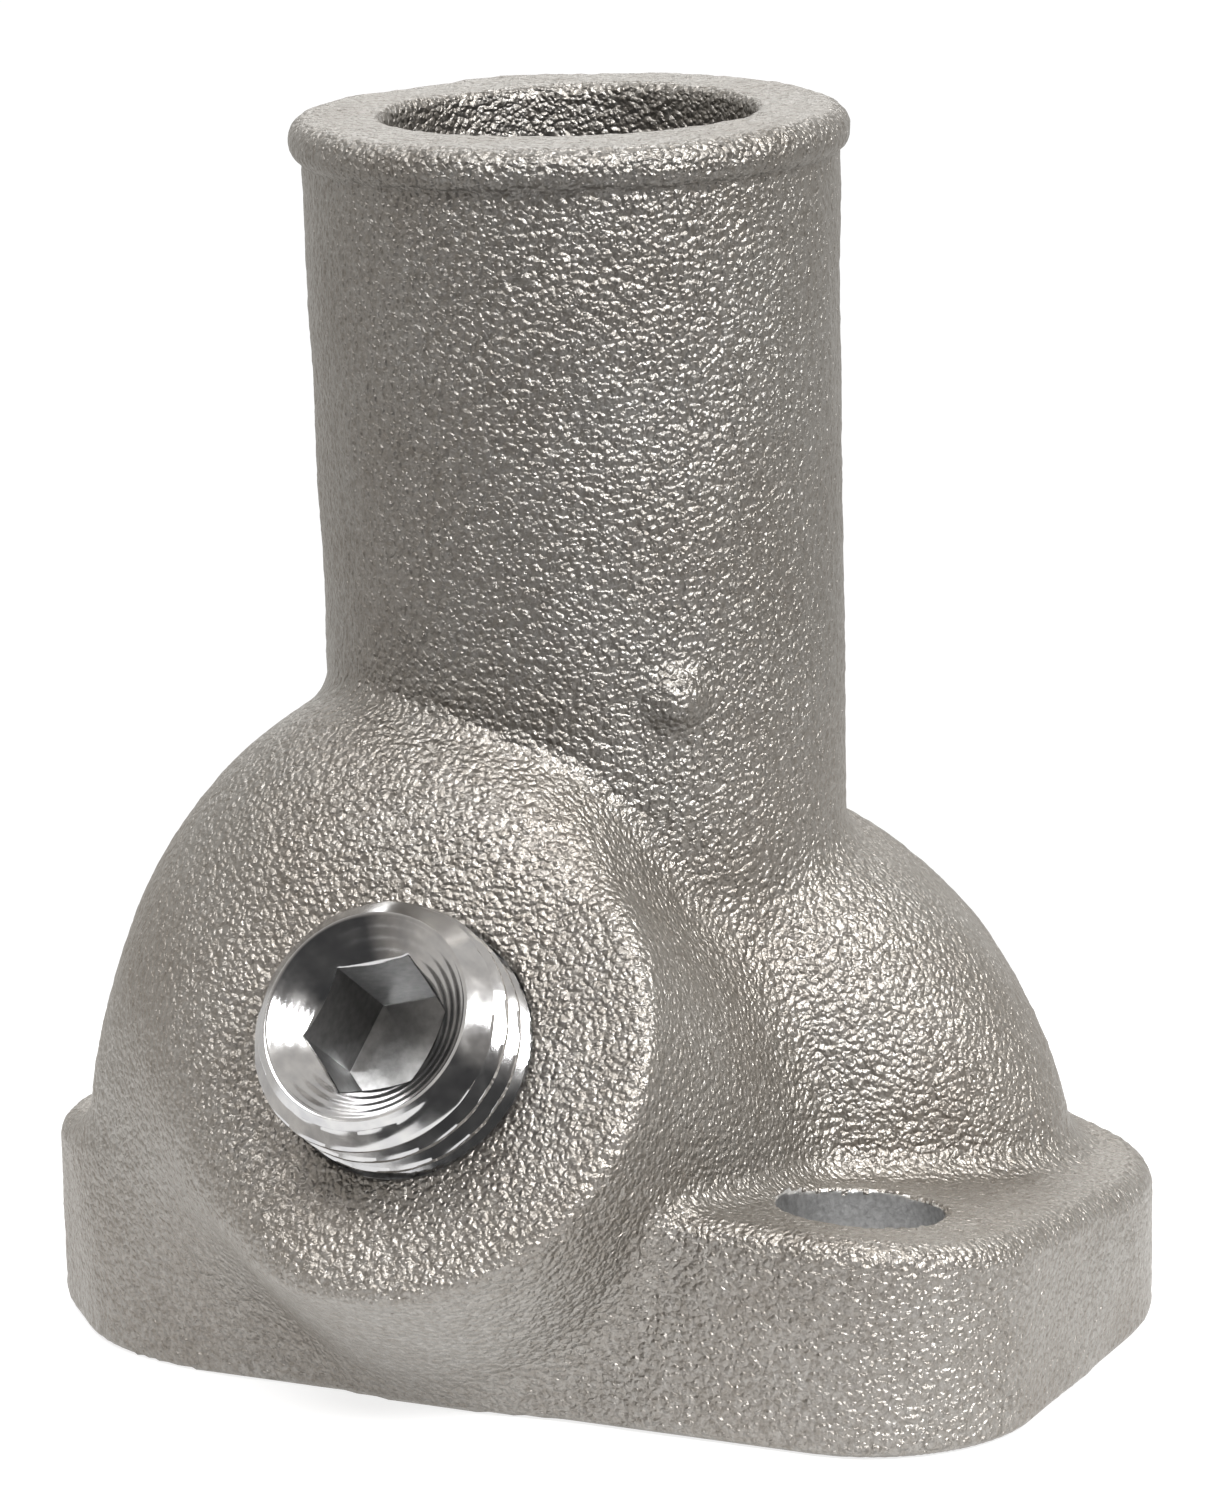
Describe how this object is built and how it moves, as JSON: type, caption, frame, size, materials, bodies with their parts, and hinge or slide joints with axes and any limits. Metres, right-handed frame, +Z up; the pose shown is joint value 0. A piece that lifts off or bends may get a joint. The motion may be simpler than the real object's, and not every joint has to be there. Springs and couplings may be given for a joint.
{
  "type": "stanchion base",
  "caption": "Cast stanchion base for a boat deck: upright tube socket on a diagonal two-bolt foot, with a hexagon-socket set screw in a tilted front boss that locks the tube.",
  "frame": {"origin": "where the axis of the stanchion socket meets the flat underside of the foot", "axes": "+Z up, square to the underside (the socket leans from it by less than a degree), +X along the length of the foot, -Y towards the set-screw boss"},
  "size_m": [0.0706, 0.0623, 0.0772],
  "materials": {
    "casting": "as-cast stainless, grainy and shot-blasted",
    "screw": "turned bright stainless"
  },
  "bodies": {
    "base": {"base_casting": "casting"},
    "screw": {"set_screw": "screw"}
  },
  "joints": [
    {"name": "set_screw_travel", "type": "slide", "parent": "base", "child": "screw", "axis": [0, 0.8358, -0.549], "range_m": [-0.006, 0.0027]}
  ]
}
